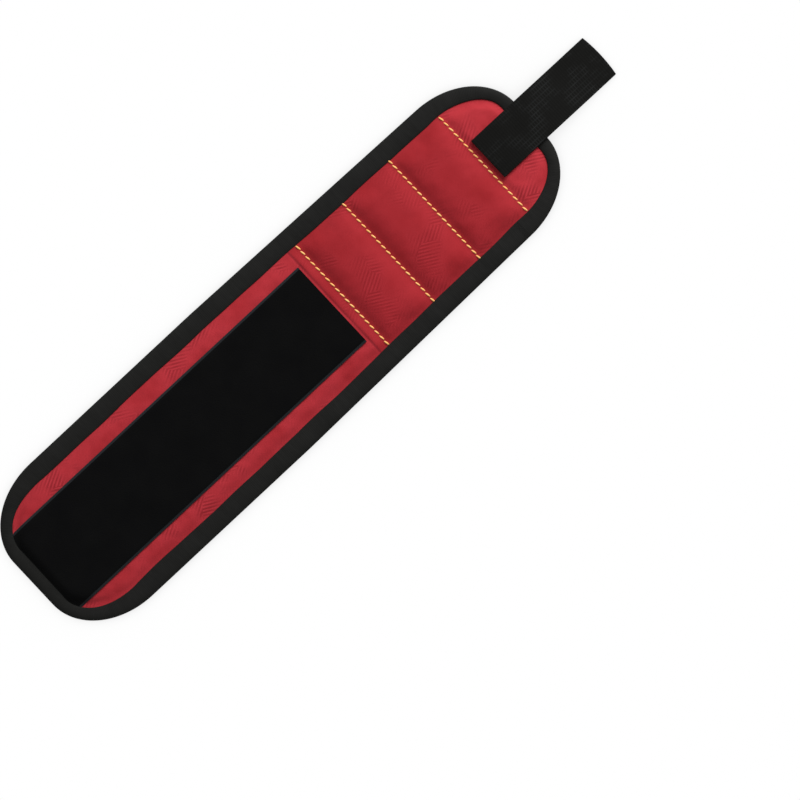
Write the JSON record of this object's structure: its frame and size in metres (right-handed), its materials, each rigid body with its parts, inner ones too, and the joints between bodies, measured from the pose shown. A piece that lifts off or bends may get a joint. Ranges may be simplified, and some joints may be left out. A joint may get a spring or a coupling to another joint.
{
  "type": "magnetic wristband",
  "caption": "Flat padded wristband with magnet cells under a red cover, a loop tape, a hook patch and a pull strap; it wraps round the wrist to hold screws and bits.",
  "frame": {"origin": "under the middle of the whole length, on the face that lies on the wrist", "axes": "+X along the band towards the strap, +Y across the band, +Z out of the front face"},
  "size_m": [0.3926, 0.091, 0.0068],
  "materials": {
    "cover_fabric": "red polyester, matte, padded",
    "padding_foam": "soft black foam",
    "lining_net": "black spacer mesh",
    "binding_tape": "black woven tape, matte",
    "loop_tape": "black brushed loop pile",
    "magnet": "plated magnet disc",
    "seam_thread": "orange sewing thread",
    "strap_webbing": "black woven webbing",
    "hook_patch": "black hook tape"
  },
  "bodies": {
    "loop_4": {"binding_loop_4_left": "binding_tape", "binding_loop_4_right": "binding_tape", "cover_loop_4": "cover_fabric", "lining_loop_4": "lining_net", "loop_tape_4": "loop_tape", "padding_loop_4": "padding_foam", "seam_thread_1": "seam_thread"},
    "loop_3": {"binding_loop_3_left": "binding_tape", "binding_loop_3_right": "binding_tape", "cover_loop_3": "cover_fabric", "lining_loop_3": "lining_net", "loop_tape_3": "loop_tape", "padding_loop_3": "padding_foam"},
    "loop_2": {"binding_loop_2_left": "binding_tape", "binding_loop_2_right": "binding_tape", "cover_loop_2": "cover_fabric", "lining_loop_2": "lining_net", "loop_tape_2": "loop_tape", "padding_loop_2": "padding_foam"},
    "loop_1": {"binding_loop_1": "binding_tape", "cover_loop_1": "cover_fabric", "lining_loop_1": "lining_net", "loop_tape_1": "loop_tape", "padding_loop_1": "padding_foam"},
    "cell_1": {"binding_cell_1_left": "binding_tape", "binding_cell_1_right": "binding_tape", "cover_cell_1": "cover_fabric", "lining_cell_1": "lining_net", "magnet_1_1": "magnet", "magnet_1_2": "magnet", "magnet_1_3": "magnet", "magnet_1_4": "magnet", "padding_cell_1": "padding_foam", "seam_thread_2": "seam_thread"},
    "cell_2": {"binding_cell_2_left": "binding_tape", "binding_cell_2_right": "binding_tape", "cover_cell_2": "cover_fabric", "lining_cell_2": "lining_net", "magnet_2_1": "magnet", "magnet_2_2": "magnet", "magnet_2_3": "magnet", "magnet_2_4": "magnet", "padding_cell_2": "padding_foam", "seam_thread_3": "seam_thread"},
    "tail": {"binding_tail": "binding_tape", "cover_tail": "cover_fabric", "hook_patch": "hook_patch", "lining_tail": "lining_net", "magnet_3_1": "magnet", "magnet_3_2": "magnet", "magnet_3_3": "magnet", "magnet_3_4": "magnet", "padding_tail": "padding_foam", "seam_thread_4": "seam_thread", "strap_base": "strap_webbing"},
    "strap_tab": {"strap_tab": "strap_webbing"}
  },
  "joints": [
    {"name": "wrap_fold_3", "type": "hinge", "parent": "loop_4", "child": "loop_3", "pos_m": [-0.03598, 0, 0], "axis": [0, -1, 0], "range_deg": [0, 68]},
    {"name": "wrap_fold_2", "type": "hinge", "parent": "loop_3", "child": "loop_2", "pos_m": [-0.0894, 0, 0], "axis": [0, -1, 0], "range_deg": [0, 66.5]},
    {"name": "wrap_fold_1", "type": "hinge", "parent": "loop_2", "child": "loop_1", "pos_m": [-0.14283, 0, 0], "axis": [0, -1, 0], "range_deg": [0, 86.5]},
    {"name": "wrap_fold_4", "type": "hinge", "parent": "loop_4", "child": "cell_1", "pos_m": [0.01905, 0, 0], "axis": [0, 1, 0], "range_deg": [0, 52.5]},
    {"name": "wrap_fold_5", "type": "hinge", "parent": "cell_1", "child": "cell_2", "pos_m": [0.05085, 0, 0], "axis": [0, 1, 0], "range_deg": [0, 40.5]},
    {"name": "wrap_fold_6", "type": "hinge", "parent": "cell_2", "child": "tail", "pos_m": [0.08265, 0, 0], "axis": [0, 1, 0], "range_deg": [0, 50.5]},
    {"name": "strap_fold", "type": "hinge", "parent": "tail", "child": "strap_tab", "pos_m": [0.14895, 0, 0.0062], "axis": [0, 1, 0], "range_deg": [-160, 50]}
  ],
  "couplings": [
    {"joint": "wrap_fold_2", "follows": "wrap_fold_3", "ratio": 0.97059},
    {"joint": "wrap_fold_1", "follows": "wrap_fold_3", "ratio": 1.2647},
    {"joint": "wrap_fold_4", "follows": "wrap_fold_3", "ratio": 0.76471},
    {"joint": "wrap_fold_5", "follows": "wrap_fold_3", "ratio": 0.58824},
    {"joint": "wrap_fold_6", "follows": "wrap_fold_3", "ratio": 0.73529}
  ]
}
